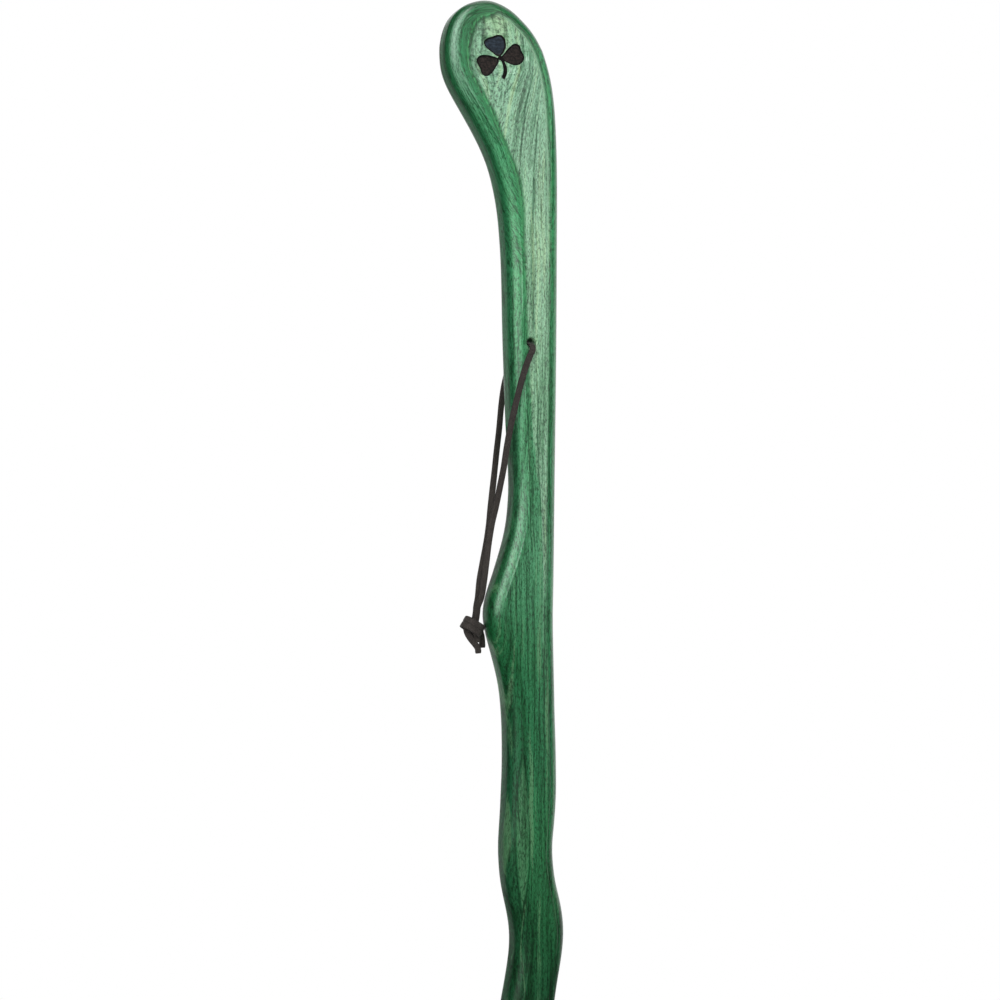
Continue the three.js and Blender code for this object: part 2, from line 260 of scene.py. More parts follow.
# %% [markdown]
# ## Thong: through the hole
# Between its free runs the strip passes through the board, resting on the lower side of the hole,
# and bends down over both mouths. It is the same strip, so the same sweep makes it.

# %% Stretch through the hole
seat_z = 80.155
straight_reach = 6
mouth_bend = 3
bend_steps = 6


def over_the_mouth(side):
    """From the middle of the bore out over one mouth and down the face."""
    points = [Vector((hole_x, side * straight_reach, seat_z))]
    for step in range(bend_steps + 1):
        turn = math.pi / 2 * step / bend_steps
        out = face_run_y - mouth_bend * (1 - math.sin(turn))
        points.append(Vector((hole_x, side * out, seat_z - mouth_bend * (1 - math.cos(turn)))))
    points.append(Vector((lead_x, side * face_run_y, lead_z)))
    return points


hole_route = over_the_mouth(-1)[::-1] + [Vector((hole_x, 0, seat_z))] + over_the_mouth(1)
hole_stretch, _ = sweep_strip("thong_in_hole", metres(hole_route), turned_widths([0, 0]))
report(hole_stretch)

# %% [markdown]
# ## Thong: the knot
# Both ends are tied together in one overhand knot. The doubled strip goes down through a band of
# the same two strips, which lie side by side and fold squarely at the left. Below the band the
# two ends come out as short tails. Each of these is one more sweep, so that every fold has the
# strip's own width, thickness and soft edges. The doubled strip begins a little way up inside the
# free runs, so that no gap shows above the knot.

# %% Band round the knot, in millimetres from the knot's top
band_centre = Vector((-2.6, 0, -9.4))
band_lean = 0.55
band_radius = 5.9
band_depth_share = 0.86
band_squareness = 2.9
band_points = 28
band_overlap = 2
tuck_share = 0.8
band_down = Vector((math.cos(band_lean), 0, -math.sin(band_lean)))
band_axis = Vector((math.sin(band_lean), 0, math.cos(band_lean)))


def below_knot_top(points):
    return [(knot_top + Vector(point)) * MM for point in points]


def band_route(shift):
    """Once round the knot and a little further, where it tucks in under itself at the back."""
    last = band_points + band_overlap
    points = []
    for i in range(last + 1):
        turn = math.pi / 2 + 2 * math.pi * i / band_points
        radius = band_radius * (tuck_share if i in (0, last) else 1)
        right = squared(math.cos(turn), band_squareness) * radius
        back = squared(math.sin(turn), band_squareness) * radius * band_depth_share
        points.append(band_centre + band_down * right + Vector((0, back, 0)) + band_axis * shift)
    return points


print("band:", round(route_length(band_route(0)), 1), "mm round")

# %% Tie the knot
band_shift = 1.92
core_shift = 1.05
left_tail = [(-5.6, 0.6, -5.6), (-6.9, -0.4, -9.5), (-6.5, -1.3, -13.1), (-4.2, -1.4, -16.8),
             (-1.6, -1.4, -19.9), (0.3, -1.3, -22.7), (0.6, -1.2, -25.6)]
right_tail = [(0.6, 0.6, -8.6), (2.1, 1, -11.2), (3.6, 1.3, -15), (4.1, 1.4, -19), (4.2, 1.3, -22.5)]


def core_route(back):
    """From inside a free run down through the band."""
    return [(0.15, back, 2.3), (0, back, 0.3), (-0.6, back, -4), (-1.4, back, -9), (-1, back, -14),
            (-0.1, back, -17), (0.1, back, -19)]


level_widths = turned_widths([0, 0])
knot_routes = [("knot_band", band_route(shift), [band_axis] * 2) for shift in (-band_shift, band_shift)]
knot_routes += [("knot_core", core_route(back), level_widths) for back in (-core_shift, core_shift)]
knot_routes += [("knot_tail", tail, level_widths) for tail in (left_tail, right_tail)]
knot_strips = [sweep_strip(name, below_knot_top(route), widths)[0] for name, route, widths in knot_routes]
select_only(knot_strips[0])
for strip in knot_strips:
    strip.select_set(True)
bpy.ops.object.join()
knot = bpy.context.object
knot.name = "thong_tied_knot"
report(knot)

thong_pieces = (front_run, rear_run, hole_stretch, knot)
for run, route, node, path in (
    (front_run, front_route, "thong_front_run", front_path),
    (rear_run, rear_route, "thong_rear_run", rear_path),
):
    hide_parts(node)
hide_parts("thong_through_hole")
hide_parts("thong_knot")
for piece in thong_pieces:
    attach(piece, "lanyard")

# %% [markdown]
# ## Studio
# The staff was photographed before white, between a large softbox on the left and a smaller one on
# the right. Lamps give the light. What the lacquer mirrors is painted in the world, because a
# mirrored softbox can then have soft edges: white behind the staff, which gives every edge its
# pale rim, and three bright fields in front of it.

# %% Nodes and finishes by name
def cleared_tree(owner):
    """The emptied node tree of a material or a world."""
    owner.use_nodes = True
    owner.node_tree.nodes.clear()
    return owner.node_tree


def add_node(tree, kind, settings=None, **inputs):
    """Adds a node, sets its properties, and links or sets its inputs by name, or i2 for the third."""
    node = tree.nodes.new(kind)
    for name, value in (settings or {}).items():
        setattr(node, name, value)
    for name, value in inputs.items():
        found = node.inputs[int(name[1:])] if name[0] == "i" and name[1:].isdigit() else node.inputs[name]
        if isinstance(value, bpy.types.NodeSocket):
            tree.links.new(value, found)
        else:
            found.default_value = value
    return node


def open_finish(material):
    """The emptied tree of a finish, and the place on the piece that is being shaded."""
    tree = cleared_tree(material)
    return tree, add_node(tree, "ShaderNodeTexCoord").outputs["Object"]


def dress(piece, material):
    piece.data.materials.clear()
    piece.data.materials.append(material)


# %% Sums with nodes
def calc(tree, operation, a, b=0.0, c=None):
    """One sum as a Math node. Only some operations take the third value."""
    third = {} if c is None else {"i2": c}
    return add_node(tree, "ShaderNodeMath", {"operation": operation}, i0=a, i1=b, **third).outputs[0]


def product(tree, first, *others):
    for other in others:
        first = calc(tree, "MULTIPLY", first, other)
    return first


def smooth_step(tree, value, low, high, to_low=0.0, to_high=1.0):
    """A soft step of value between low and high."""
    settings = {"interpolation_type": "SMOOTHSTEP"}
    node = add_node(tree, "ShaderNodeMapRange", settings, i0=value, i1=low, i2=high, i3=to_low, i4=to_high)
    return node.outputs[0]


# %% Bright fields that the lacquer mirrors
def bright_field(tree, bearing, height, middle, half_width, soft, low, high, strength):
    """A softbox in the world: its middle and width in degrees of bearing, low to high its lower edge."""
    off = calc(tree, "ABSOLUTE", calc(tree, "SUBTRACT", bearing, math.radians(middle)))
    inner, outer = math.radians(half_width - soft), math.radians(half_width + soft)
    beside = smooth_step(tree, off, inner, outer, 1.0, 0.0)
    return product(tree, beside, smooth_step(tree, height, low, high), strength)


mirrored_fields = (
    {"middle": -46, "half_width": 28, "soft": 15, "low": -0.04, "high": 0.08, "strength": 5.0},
    {"middle": 24, "half_width": 12, "soft": 10, "low": -0.02, "high": 0.12, "strength": 1.5},
    {"middle": 38, "half_width": 7, "soft": 5, "low": -0.1, "high": -0.03, "strength": 2.6},
)
print("bright fields:", len(mirrored_fields))

# %% World
plain_light = 0.38
near_gloss = 0.03
far_left = (0.56, 1.0)
far_right = (0.0, 0.33)

world = bpy.data.worlds.new("studio")
bpy.context.scene.world = world
tree = cleared_tree(world)
rays = add_node(tree, "ShaderNodeLightPath").outputs
direction = add_node(tree, "ShaderNodeTexCoord").outputs["Generated"]
parts = add_node(tree, "ShaderNodeSeparateXYZ", i0=direction).outputs
bearing = calc(tree, "ARCTAN2", parts["X"], calc(tree, "MULTIPLY", parts["Y"], -1.0))
facing = add_node(tree, "ShaderNodeVectorMath", {"operation": "DOT_PRODUCT"}, i0=direction, i1=look)
leftward = calc(tree, "LESS_THAN", bearing, 0.0)
far_start, far_end = (calc(tree, "MULTIPLY_ADD", leftward, left - right, right)
                      for left, right in zip(far_left, far_right))
mirrored = smooth_step(tree, facing.outputs["Value"], far_start, far_end, near_gloss, 1.0)
for field in mirrored_fields:
    mirrored = calc(tree, "MAXIMUM", mirrored, bright_field(tree, bearing, parts["Z"], **field))
mirrored = calc(tree, "MULTIPLY", rays["Is Glossy Ray"], mirrored)
seen = calc(tree, "MAXIMUM", rays["Is Camera Ray"], rays["Is Transmission Ray"])
lit = calc(tree, "MULTIPLY", rays["Is Diffuse Ray"], plain_light)
strength = calc(tree, "MAXIMUM", calc(tree, "MAXIMUM", seen, mirrored), lit)
background = add_node(tree, "ShaderNodeBackground", Color=(1, 1, 1, 1), Strength=strength)
add_node(tree, "ShaderNodeOutputWorld", Surface=background.outputs[0])
print("world: plain light", plain_light)

# %% Softboxes
def add_softbox(name, bearing, distance, width, height, middle_z, radiance):
    """A tall lamp that faces the staff's axis, at a bearing from the front, in degrees."""
    turn = math.radians(bearing)
    place = Vector((math.sin(turn), -math.cos(turn), 0)) * distance + Vector((0, 0, middle_z))
    bpy.ops.object.light_add(type="AREA", location=place, rotation=(math.pi / 2, 0, turn))
    lamp = bpy.context.object
    lamp.name = name
    lamp.data.shape = "RECTANGLE"
    lamp.data.size = width
    lamp.data.size_y = height
    lamp.data.energy = radiance * math.pi * width * height
    lamp.visible_camera = False
    lamp.visible_glossy = False
    print(name, "gives", round(lamp.data.energy, 1), "W")


add_softbox("left_softbox", bearing=-53, distance=1.7, width=1.2, height=2.2, middle_z=0.3, radiance=2.0)
add_softbox("right_softbox", bearing=25, distance=1.6, width=0.9, height=2.0, middle_z=0.1, radiance=1.6)
add_softbox("back_softbox", bearing=150, distance=1.8, width=1.2, height=2.0, middle_z=0.1, radiance=1.8)

# %% [markdown]
# ## Floor
# The foot of the staff stands on a pale floor. The floor is a wide disc that keeps the staff's
# shadow, and towards its rim it turns into the white of the world. The lacquer mirrors it darker
# than it is seen, as if a black cloth lay before the staff, which keeps the green deep.

# %% Floor
floor_radius = 2.4
fade_from, fade_to = 0.9, 0.97 * floor_radius
floor_corners = 96
floor_tone = 0.82
mirrored_tone = 0.08
foot_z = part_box("rubber_ferrule")[0].z
bpy.ops.mesh.primitive_circle_add(vertices=floor_corners, radius=floor_radius, fill_type="NGON",
                                  location=(0, 0, foot_z))
floor = bpy.context.object
floor.name = "floor"

floor_finish = bpy.data.materials.new("pale_floor")
tree, place = open_finish(floor_finish)
reach = add_node(tree, "ShaderNodeVectorMath", {"operation": "LENGTH"}, i0=place).outputs["Value"]
rays = add_node(tree, "ShaderNodeLightPath").outputs
tone = calc(tree, "MULTIPLY_ADD", rays["Is Glossy Ray"], mirrored_tone - floor_tone, floor_tone)
grey = add_node(tree, "ShaderNodeCombineColor", i0=tone, i1=tone, i2=tone)
matt = add_node(tree, "ShaderNodeBsdfDiffuse", Color=grey.outputs[0])
white = add_node(tree, "ShaderNodeEmission", Color=(1, 1, 1, 1), Strength=1.0)
fade = product(tree, smooth_step(tree, reach, fade_from, fade_to), rays["Is Camera Ray"])
mixed = add_node(tree, "ShaderNodeMixShader", i0=fade, i1=matt.outputs[0], i2=white.outputs[0])
add_node(tree, "ShaderNodeOutputMaterial", Surface=mixed.outputs[0])
dress(floor, floor_finish)
print("floor at", round(foot_z, 4), "m")

# %% [markdown]
# ## Carved staff
# The frame's staff has the true outline but flat facets. A copy of it is merged, its triangles
# are joined into four-sided faces, its crisp edges are creased, and a subdivision surface rounds
# the rest. Such a surface shrinks away from its cage, so the cage is first moved out until the
# smooth surface passes close to the corners that the frame gave.

# %% Copy and clean the solid
bend_allowed = math.radians(40)
skew_allowed = math.radians(60)
staff = bpy.data.objects.new("carved_staff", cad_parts["wooden_staff"].data.copy())
bpy.context.scene.collection.objects.link(staff)
tidy_mesh(staff)
bpy.ops.object.mode_set(mode="EDIT")
bpy.ops.mesh.select_all(action="SELECT")
bpy.ops.mesh.tris_convert_to_quads(face_threshold=bend_allowed, shape_threshold=skew_allowed)
bpy.ops.mesh.select_all(action="DESELECT")
bpy.ops.object.mode_set(mode="OBJECT")
print("staff faces:", len(staff.data.polygons))

# %% Crease the mouths of the hole and the tip's edge
hole_reach = 4.6 * MM
tip_zone = -1096.5 * MM
sharp_angle = math.radians(25)


def is_crisp(place):
    from_hole = math.hypot(place.x - hole_x * MM, place.z - hole_z * MM)
    return from_hole < hole_reach or place.z < tip_zone


crease = staff.data.attributes.new("crease_edge", "FLOAT", "EDGE")
faces_by_edge = {}
for face in staff.data.polygons:
    for key in face.edge_keys:
        faces_by_edge.setdefault(key, []).append(face.normal)
creased = 0
for edge in staff.data.edges:
    normals = faces_by_edge[edge.key]
    middle = (staff.data.vertices[edge.vertices[0]].co + staff.data.vertices[edge.vertices[1]].co) / 2
    if len(normals) == 2 and normals[0].angle(normals[1]) > sharp_angle and is_crisp(middle):
        crease.data[edge.index].value = 1
        creased += 1
print("creased edges:", creased)

# %% Places of the corners
def corner_places(piece):
    found = np.empty(len(piece.data.vertices) * 3)
    piece.data.vertices.foreach_get("co", found)
    return found.reshape(-1, 3)


def smooth_corner_places(piece):
    """Where the subdivision surface puts each corner of the cage."""
    bpy.context.view_layer.update()
    seen_piece = piece.evaluated_get(bpy.context.evaluated_depsgraph_get())
    mesh = seen_piece.to_mesh()
    places = np.empty(len(mesh.vertices) * 3)
    mesh.vertices.foreach_get("co", places)
    seen_piece.to_mesh_clear()
    return places.reshape(-1, 3)[: len(piece.data.vertices)]


# %% Let the smooth surface pass close to the given corners
fitting_rounds = 4
subdivision = staff.modifiers.new("smooth", "SUBSURF")
subdivision.levels = 2
subdivision.render_levels = 2
target = corner_places(staff)
cage = target.copy()
for _ in range(fitting_rounds):
    cage += target - smooth_corner_places(staff)
    staff.data.vertices.foreach_set("co", cage.ravel())
    staff.data.update()
miss = np.linalg.norm(target - smooth_corner_places(staff), axis=1)
print("largest miss:", round(miss.max() / MM, 3), "mm")
select_only(staff)
bpy.ops.object.modifier_apply(modifier="smooth")
report(staff)

# %% [markdown]
# ## Crown of the faces
# The faces are sanded after the edges are rounded, so they fall a little towards their borders.
# Each corner of a face sinks by how near it lies to the outline. The outline itself stays put.

# %% Distance of each corner from the outline
middle_tolerance = 0.02 * MM
hole_margin = 6 * MM
points_per_edge = 6


def outline_points(piece):
    """Close points along the outline that the piece has at the middle of the board."""
    places = corner_places(piece)
    from_hole = np.hypot(places[:, 0] - hole_x * MM, places[:, 2] - hole_z * MM)
    on_outline = (np.abs(places[:, 1]) < middle_tolerance) & (from_hole > hole_margin)
    ends = np.array([edge.vertices[:] for edge in piece.data.edges])
    along = ends[on_outline[ends].all(axis=1)]
    shares = np.linspace(0, 1, points_per_edge)[None, :, None]
    starts, finishes = places[along[:, :1]], places[along[:, 1:]]
    return (starts + (finishes - starts) * shares).reshape(-1, 3)


def distance_in(piece, points):
    """How far each corner of the piece lies in from the outline, seen from the front."""
    lookup = kdtree.KDTree(len(points))
    for i, (x, _, z) in enumerate(points):
        lookup.insert((x, 0, z), i)
    lookup.balance()
    return np.array([lookup.find((x, 0, z))[2] for x, _, z in corner_places(piece)])


outline = outline_points(staff)
inset = distance_in(staff, outline)
print("outline points:", len(outline), "deepest inset:", round(inset.max() / MM, 1), "mm")

# %% Let the faces fall towards their borders
crown_fall = 0.34 * MM
crown_from = 15 * MM
crown_to = 7 * MM
places = corner_places(staff)
share = np.clip((crown_from - inset) / (crown_from - crown_to), 0, 1)
fall = crown_fall * share * share * (3 - 2 * share)
taper_out = np.clip(inset / crown_to, 0, 1)
places[:, 1] -= np.sign(places[:, 1]) * fall * taper_out
staff.data.vertices.foreach_set("co", places.ravel())
staff.data.update()
print("faces fall by up to", round(fall.max() / MM, 2), "mm")

# %% [markdown]
# ## Shamrock
# A three-leaved clover is cut half a millimetre into the front face and burnt dark. Each leaf and the stem is
# a closed curve through a few points, filled, given depth and cut out of the wood. The burning tool goes
# round the outline first and leaves a charred ledge. The middle is then scorched and cut a little deeper,
# with the same outlines drawn in. The staff has three finishes, and each cutter brings its own to every face
# that it leaves behind.

# %% Three finishes on one piece
STAINED, CHARRED, BURNT = 0, 1, 2
stained = bpy.data.materials.new("stained_ash")
charred = bpy.data.materials.new("charred_ledge")
burnt = bpy.data.materials.new("burnt_ornament")


def give_finishes(piece, finish):
    """Gives the piece all three finishes and every one of its faces this one."""
    piece.data.materials.clear()
    for material in (stained, charred, burnt):
        piece.data.materials.append(material)
    for face in piece.data.polygons:
        face.material_index = finish


give_finishes(staff, STAINED)
print("finishes:", [material.name for material in staff.data.materials])

# %% Outlines of the leaves, in millimetres on the front face
leaves = {
    "top_leaf": [
        (-24.2, 251.9), (-29.0, 254.2), (-33.3, 257.6), (-33.9, 259.8), (-32.6, 261.6), (-28.6, 263.4),
        (-24.4, 264.9), (-21.6, 264.2), (-19.7, 260.4), (-20.4, 256.2), (-22.6, 252.8),
    ],
    "right_leaf": [
        (-22.4, 251.3), (-20.4, 254.6), (-17.6, 258.0), (-14.0, 260.5), (-11.0, 259.8), (-9.8, 256.9),
        (-8.1, 254.2), (-7.9, 251.8), (-9.9, 249.0), (-13.3, 247.6), (-18.3, 248.5),
    ],
    "left_leaf": [
        (-24.4, 250.2), (-27.6, 251.6), (-32.2, 252.1), (-36.8, 251.1), (-38.5, 248.5), (-37.8, 246.0),
        (-36.3, 243.7), (-35.3, 240.9), (-32.8, 239.4), (-29.4, 241.0), (-26.4, 245.0),
    ],
    "hub": [(-24.9, 251.0), (-24.0, 252.3), (-22.6, 252.5), (-21.6, 251.6), (-21.9, 250.2), (-23.3, 249.6)],
    "stem": [
        (-24.3, 251.2), (-22.6, 249.0), (-21.5, 245.3), (-21.6, 242.0), (-22.3, 239.6), (-20.9, 238.7),
        (-19.6, 240.4), (-18.9, 243.9), (-19.9, 247.8), (-21.6, 250.6), (-23.0, 252.0),
    ],
}


def drawn_in(outline, by):
    """The same outline, with each point moved inwards."""
    moved = []
    for i, (x, z) in enumerate(outline):
        before, after = outline[i - 1], outline[(i + 1) % len(outline)]
        along = Vector((after[0] - before[0], after[1] - before[1])).normalized()
        moved.append((x + along.y * by, z - along.x * by))
    return moved


def signed_area(outline):
    return sum(a[0] * b[1] - b[0] * a[1] for a, b in zip(outline, outline[1:] + outline[:1])) / 2


print("leaves:", {name: round(abs(signed_area(outline))) for name, outline in leaves.items()}, "mm2")

# %% Cutter in the form of a leaf
face_y = -12.7
cutter_half = 1
cutter_smooth_angle = 30
leaf_curve_steps = 6


def leaf_cutter(name, outline, depth, finish):
    """A closed smooth curve, filled and extruded through the surface of the face."""
    curve = bpy.data.curves.new(name, "CURVE")
    curve.dimensions = "2D"
    curve.fill_mode = "BOTH"
    curve.resolution_u = leaf_curve_steps
    curve.extrude = cutter_half * MM
    spline = curve.splines.new("BEZIER")
    spline.bezier_points.add(len(outline) - 1)
    for point, (x, z) in zip(spline.bezier_points, outline):
        point.co = (x * MM, z * MM, 0)
        point.handle_left_type = "AUTO"
        point.handle_right_type = "AUTO"
    spline.use_cyclic_u = True
    cutter = bpy.data.objects.new(name, curve)
    bpy.context.scene.collection.objects.link(cutter)
    select_only(cutter)
    bpy.ops.object.convert(target="MESH")
    cutter.rotation_euler = (math.pi / 2, 0, 0)
    cutter.location = (0, (face_y + depth - cutter_half) * MM, 0)
    bpy.ops.object.transform_apply(location=True, rotation=True, scale=True)
    tidy_mesh(cutter, cutter_smooth_angle)
    give_finishes(cutter, finish)
    return cutter


# %% Cut the leaves out of the face
ornament_depth = 0.5
middle_depth = 0.62
ledge_width = 0.95


def cut_ornament(name, outline, depth, finish):
    cutter = leaf_cutter(name, outline, depth, finish)
    select_only(staff)
    cut = staff.modifiers.new("cut", "BOOLEAN")
    cut.operation = "DIFFERENCE"
    cut.solver = "EXACT"
    cut.object = cutter
    bpy.ops.object.modifier_apply(modifier="cut")
    bpy.data.objects.remove(cutter)


before = len(staff.data.vertices)
for name, outline in leaves.items():
    cut_ornament(name, outline, ornament_depth, CHARRED)
for name in ("top_leaf", "right_leaf", "left_leaf"):
    inwards = math.copysign(ledge_width, -signed_area(leaves[name]))
    cut_ornament(name, drawn_in(leaves[name], inwards), middle_depth, BURNT)
print("corners added by the ornament:", len(staff.data.vertices) - before)

# %% [markdown]
# ## How far each place is from the outline
# The stain is darker on the rounded edges than on the flat faces, and the colour darkens from the head down.
# The pale flat face is partly a painted reflection. To paint by that, every corner of the mesh gets two
# numbers: how far in from the outline it lies, and how far across from the left edge to the right one.

# %% Numbers for the stain
outline = outline_points(staff)
inset = distance_in(staff, outline)
places = corner_places(staff)
height_rows = 600
narrowest = 1 * MM

levels = np.linspace(places[:, 2].min(), places[:, 2].max(), height_rows)
row_of = np.clip(np.searchsorted(levels, outline[:, 2]), 1, height_rows - 1)
left_edge = np.full(height_rows, np.nan)
right_edge = np.full(height_rows, np.nan)
for level in range(height_rows):
    row = outline[row_of == level, 0]
    if len(row):
        left_edge[level] = row.min()
        right_edge[level] = row.max()
known = ~np.isnan(left_edge)
left_x = np.interp(places[:, 2], levels[known], left_edge[known])
right_x = np.interp(places[:, 2], levels[known], right_edge[known])
across = np.clip((places[:, 0] - left_x) / np.maximum(right_x - left_x, narrowest), 0, 1)
for name, values in (("inset", inset / MM), ("across", across)):
    attribute = staff.data.attributes.new(name, "FLOAT", "POINT")
    attribute.data.foreach_set("value", values.astype(np.float32))
print("corners with numbers:", len(inset))

# %% [markdown]
# ## Stained ash
# Ash has open pores in rows along its growth rings, and a water stain gathers in them. An image of
# wood would repeat and would not bend with the carving, so the finish is built from masks: the
# rings as long streaks, fine lines, the pores as dashes, the slow unevenness of the stain, and
# flecks from fibre to fibre. They are made once as a node group, and colours are mixed by them.

# %% Colours and masks
def srgb(code):
    """A colour as it is seen, such as 8FB796, as the linear values that a shader takes."""
    parts = [int(code[i:i + 2], 16) / 255 for i in (0, 2, 4)]
    linear = [p / 12.92 if p <= 0.04045 else ((p + 0.055) / 1.055) ** 2.4 for p in parts]
    return (*linear, 1.0)


def mix_colours(tree, share, first, second, blend="MIX"):
    settings = {"data_type": "RGBA", "blend_type": blend}
    return add_node(tree, "ShaderNodeMix", settings, i0=share, i6=first, i7=second).outputs[2]


def tint(tree, colour, mask, strength, code, blend="MIX"):
    """Another colour over the colour, as strongly as the mask and the strength say."""
    return mix_colours(tree, calc(tree, "MULTIPLY", mask, strength), colour, srgb(code), blend)


def around_half(tree, noise_value, by, base):
    """The base, raised and lowered by a noise whose middle value is one half."""
    return calc(tree, "MULTIPLY_ADD", calc(tree, "SUBTRACT", noise_value, 0.5), by, base)


def stored_number(tree, name):
    return add_node(tree, "ShaderNodeAttribute", {"attribute_name": name}).outputs["Fac"]


def stretched_noise(tree, vector, scales, detail=3.0, roughness=0.55):
    """Noise whose cells are as long as one over each scale, in metres."""
    mapped = add_node(tree, "ShaderNodeMapping", i0=vector, i3=scales).outputs[0]
    node = add_node(tree, "ShaderNodeTexNoise", Vector=mapped, Scale=1.0, Detail=detail, Roughness=roughness)
    return node.outputs["Fac"]


# %% Sockets of the grain
grain_noises = {
    "Streaks": ((300.0, 60.0, 10.0), 4.0, 0.62),
    "Lines": ((1000.0, 400.0, 20.0), 4.0, 0.68),
    "Pores": ((1300.0, 1300.0, 330.0), 3.0, 0.7),
    "Flecks": ((1500.0, 1500.0, 380.0), 2.0, 0.8),
}
fan_values = {"Fan Foot": 0.17, "Fan Middle": -0.0275, "Fan Reach": 0.043}

ash_grain = bpy.data.node_groups.new("ash_grain", "ShaderNodeTree")
for label, value in fan_values.items():
    socket = ash_grain.interface.new_socket(label, in_out="INPUT", socket_type="NodeSocketFloat")
    socket.default_value = value
for label in (*grain_noises, "Clouds"):
    ash_grain.interface.new_socket(label, in_out="OUTPUT", socket_type="NodeSocketFloat")
print("group:", ash_grain.name, [item.name for item in ash_grain.interface.items_tree])

# %% Grain of ash
fan_growth = 2.0
widest_fan = 0.011
wander_width = 0.006
board_slant = 0.3
rim_insets = (8.6, 10.0)
rim_heights = (0.12, 0.19)

tree = ash_grain
fan = tree.nodes.new("NodeGroupInput").outputs
group_out = tree.nodes.new("NodeGroupOutput")
spot = add_node(tree, "ShaderNodeTexCoord").outputs["Object"]
axes = add_node(tree, "ShaderNodeSeparateXYZ", i0=spot).outputs
inset_mm = stored_number(tree, "inset")
above = calc(tree, "MAXIMUM", calc(tree, "SUBTRACT", axes["Z"], fan["Fan Foot"]), 0.0)
lean = calc(tree, "MINIMUM", product(tree, above, above, fan_growth), widest_fan)
from_middle = calc(tree, "SUBTRACT", axes["X"], fan["Fan Middle"])
turn = product(tree, calc(tree, "DIVIDE", from_middle, fan["Fan Reach"]), math.pi)
fanned = calc(tree, "SUBTRACT", axes["X"], product(tree, lean, calc(tree, "SINE", turn)))
wander = stretched_noise(tree, spot, (26.0, 26.0, 11.0), detail=2.0)
wandered = calc(tree, "MULTIPLY_ADD", wander, wander_width, fanned)
board_x = calc(tree, "MULTIPLY_ADD", axes["Y"], board_slant, wandered)
around = calc(tree, "MULTIPLY_ADD", inset_mm, MM, calc(tree, "ABSOLUTE", axes["Y"]))
on_rim = product(tree, smooth_step(tree, inset_mm, *rim_insets, 1.0, 0.0),
                 smooth_step(tree, axes["Z"], *rim_heights))
ring_x = add_node(tree, "ShaderNodeMix", i0=on_rim, i2=board_x, i3=around).outputs[0]
grain_spot = add_node(tree, "ShaderNodeCombineXYZ", i0=ring_x, i1=axes["Y"], i2=axes["Z"]).outputs[0]
for label, (scales, detail, roughness) in grain_noises.items():
    tree.links.new(stretched_noise(tree, grain_spot, scales, detail, roughness), group_out.inputs[label])
tree.links.new(stretched_noise(tree, spot, (90.0, 90.0, 14.0), 3.0, 0.5), group_out.inputs["Clouds"])
print("grain:", len(tree.nodes), "nodes")

# %% Colour by a list of places
def blend_stops(tree, value, stops):
    """A colour for every value. The stops are pairs of a place and a colour, in rising order."""
    low, high = stops[0][0], stops[-1][0]
    share = add_node(tree, "ShaderNodeMapRange", i0=value, i1=low, i2=high).outputs[0]
    node = add_node(tree, "ShaderNodeValToRGB", i0=share)
    elements = node.color_ramp.elements
    elements[1].position = 1
    elements[1].color = stops[-1][1]
    elements[0].color = stops[0][1]
    for place, colour in stops[1:-1]:
        elements.new((place - low) / (high - low)).color = colour
    return node.outputs[0]


def ramp(tree, value, stops):
    """The same, with the colours written as they are seen."""
    return blend_stops(tree, value, [(place, srgb(code)) for place, code in stops])


def number_ramp(tree, value, stops, largest):
    """The same for numbers from 0 to the largest one."""
    greys = [(place, (*[number / largest] * 3, 1)) for place, number in stops]
    return calc(tree, "MULTIPLY", blend_stops(tree, value, greys), largest)


# %% Colours by height, in metres above the grip
# Face and edge colours grow darker towards the foot.
face_green = [
    (-1.1, "144025"), (-0.4, "154428"), (-0.31, "144729"), (-0.27, "195530"), (-0.22, "25683E"),
    (-0.17, "226840"), (-0.125, "246B42"), (-0.1, "2B7147"), (-0.075, "387C53"), (-0.05, "41845B"),
    (0, "43885D"), (0.06, "438B5E"), (0.12, "3C8D5A"), (0.2, "2A8450"), (0.25, "227948"), (0.29, "226E3E"),
]
edge_green = [
    (-1.1, "103A20"), (-0.31, "113E23"), (-0.17, "154A2D"), (-0.1, "0E5029"), (-0.05, "1C5330"),
    (0, "27603E"), (0.06, "286440"), (0.165, "205E3A"), (0.29, "1C5632"),
]
# The pale colours of the face hold a painted reflection of the right softbox as well as the stain.
pale_and_sheen_green = [
    (-0.2, "3A704A"), (-0.125, "4A7F5B"), (-0.1, "528C66"), (-0.075, "659977"), (-0.05, "78A283"),
    (0, "78A584"), (0.06, "7EAC89"), (0.15, "86B291"), (0.24, "80AE8F"), (0.29, "78A884"),
]
border_further_in = [
    (0.14, 0.0), (0.168, 2.0), (0.182, 2.4), (0.194, 0.7), (0.206, 0.9), (0.218, 2.8),
    (0.243, 3.0), (0.255, 4.2), (0.265, 5.0), (0.279, 2.0), (0.285, 0.0), (0.29, 0.0),
]
furthest_in = 6.0
print("stain:", len(face_green) + len(edge_green) + len(pale_and_sheen_green), "stops")
